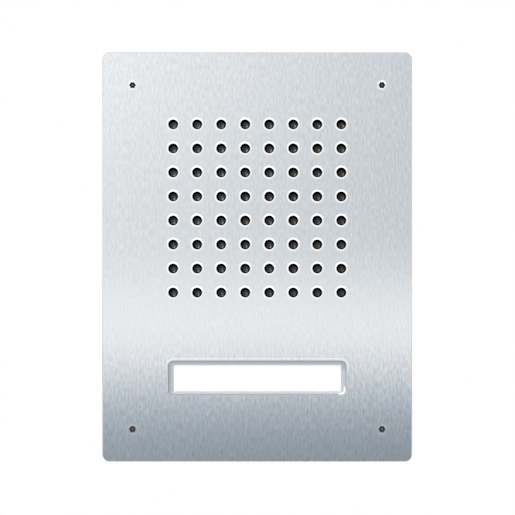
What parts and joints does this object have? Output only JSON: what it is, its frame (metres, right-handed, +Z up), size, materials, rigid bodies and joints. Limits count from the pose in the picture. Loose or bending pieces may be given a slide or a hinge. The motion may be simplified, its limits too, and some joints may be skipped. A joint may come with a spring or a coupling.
{
  "type": "audio door station",
  "caption": "Flush-mounted audio door station: brushed steel cover plate with round speaker holes, a wide lit call button with a name strip, and a box set in the wall.",
  "frame": {"origin": "centre of the cover plate, in the plane of the finished wall that its gasket lies on", "axes": "+Z up the wall, +X to the right of a person facing the plate, +Y into the wall"},
  "size_m": [0.136, 0.048, 0.18],
  "materials": {
    "plate_steel": "vertical brushed stainless",
    "screw_steel": "turned stainless",
    "zinc_steel": "zinc plated",
    "foam_black": "closed-cell foam",
    "guard_black": "glossy moulded",
    "acoustic_cloth": "fine woven",
    "clear_acrylic": "clear polished",
    "label_white": "smooth printed film",
    "carrier_grey": "satin moulded",
    "silicone_grey": "soft matt",
    "spring_steel": "drawn wire",
    "housing_black": "fine moulded grain",
    "switch_black": "moulded",
    "plunger_white": "moulded",
    "basket_steel": "pressed, dark coated",
    "magnet_ferrite": "pressed ferrite",
    "yoke_steel": "yellow zinc",
    "cone_paper": "pressed pulp",
    "surround_rubber": "soft matt",
    "spider_cloth": "impregnated weave",
    "coil_copper": "wound copper",
    "phenolic_brown": "laminate",
    "mic_metal": "drawn can",
    "board_green": "solder mask",
    "terminal_green": "moulded",
    "brass_plain": "turned",
    "trimmer_blue": "moulded",
    "rotor_cream": "moulded",
    "relay_case": "moulded",
    "transformer_core": "laminated",
    "can_sleeve": "shrink sleeve",
    "chip_black": "moulded",
    "led_clear": "clear epoxy",
    "connector_white": "moulded",
    "lead_red": "insulation",
    "lead_black": "insulation",
    "box_grey": "coarse moulded"
  },
  "bodies": {
    "root": {"cover_plate": "plate_steel", "plate_screws": "screw_steel", "plate_studs": "zinc_steel", "stud_washers": "zinc_steel", "stud_nuts": "zinc_steel", "plate_gasket": "foam_black", "poke_guard": "guard_black", "speaker_membrane": "acoustic_cloth", "button_seal": "silicone_grey", "button_springs": "spring_steel", "call_switches": "switch_black", "module_housing": "housing_black", "module_cover": "housing_black", "cover_screws": "zinc_steel", "board_screws": "zinc_steel", "speaker_gasket": "foam_black", "speaker_basket": "basket_steel", "speaker_top_plate": "yoke_steel", "speaker_magnet": "magnet_ferrite", "speaker_yoke": "yoke_steel", "speaker_surround": "surround_rubber", "speaker_spider": "spider_cloth", "speaker_terminals": "phenolic_brown", "speaker_clamps": "zinc_steel", "clamp_screws": "zinc_steel", "mic_capsule": "mic_metal", "mic_boot": "silicone_grey", "main_board": "board_green", "terminal_block": "terminal_green", "terminal_screws": "zinc_steel", "terminal_clamps": "brass_plain", "volume_trimmer": "trimmer_blue", "mic_gain_trimmer": "trimmer_blue", "relay": "relay_case", "line_transformer": "transformer_core", "capacitors": "can_sleeve", "ic_chips": "chip_black", "label_leds": "led_clear", "lead_connectors": "connector_white", "speaker_leads": "lead_red", "mic_leads": "lead_black", "back_box": "box_grey", "post_inserts": "brass_plain"},
    "call_button": {"button_cap": "clear_acrylic", "button_label": "label_white", "button_carrier": "carrier_grey"},
    "left_plunger": {"left_switch_plunger": "plunger_white"},
    "right_plunger": {"right_switch_plunger": "plunger_white"},
    "speaker_diaphragm": {"speaker_cone": "cone_paper", "voice_coil": "coil_copper"},
    "volume_rotor": {"volume_rotor": "rotor_cream"},
    "mic_gain_rotor": {"mic_gain_rotor": "rotor_cream"}
  },
  "joints": [
    {"name": "call_button_press", "type": "slide", "parent": "root", "child": "call_button", "axis": [0, 1, 0], "range_m": [0, 0.0013], "stiffness_N_per_m": 900, "springref_m": -0.0012, "deforming": ["button_springs"]},
    {"name": "left_switch_press", "type": "slide", "parent": "root", "child": "left_plunger", "axis": [0, 1, 0], "range_m": [0, 0.0013]},
    {"name": "right_switch_press", "type": "slide", "parent": "root", "child": "right_plunger", "axis": [0, 1, 0], "range_m": [0, 0.0013]},
    {"name": "speaker_cone_travel", "type": "slide", "parent": "root", "child": "speaker_diaphragm", "axis": [0, 1, 0], "range_m": [-0.0005, 0.0005], "stiffness_N_per_m": 600, "deforming": ["speaker_surround", "speaker_spider"]},
    {"name": "volume_turn", "type": "hinge", "parent": "root", "child": "volume_rotor", "pos_m": [-0.024, 0.0235, -0.032], "axis": [0, 1, 0], "range_deg": [-135, 135]},
    {"name": "mic_gain_turn", "type": "hinge", "parent": "root", "child": "mic_gain_rotor", "pos_m": [-0.01, 0.0235, -0.032], "axis": [0, 1, 0], "range_deg": [-135, 135]}
  ],
  "couplings": [
    {"joint": "left_switch_press", "follows": "call_button_press", "ratio": 1},
    {"joint": "right_switch_press", "follows": "call_button_press", "ratio": 1}
  ]
}
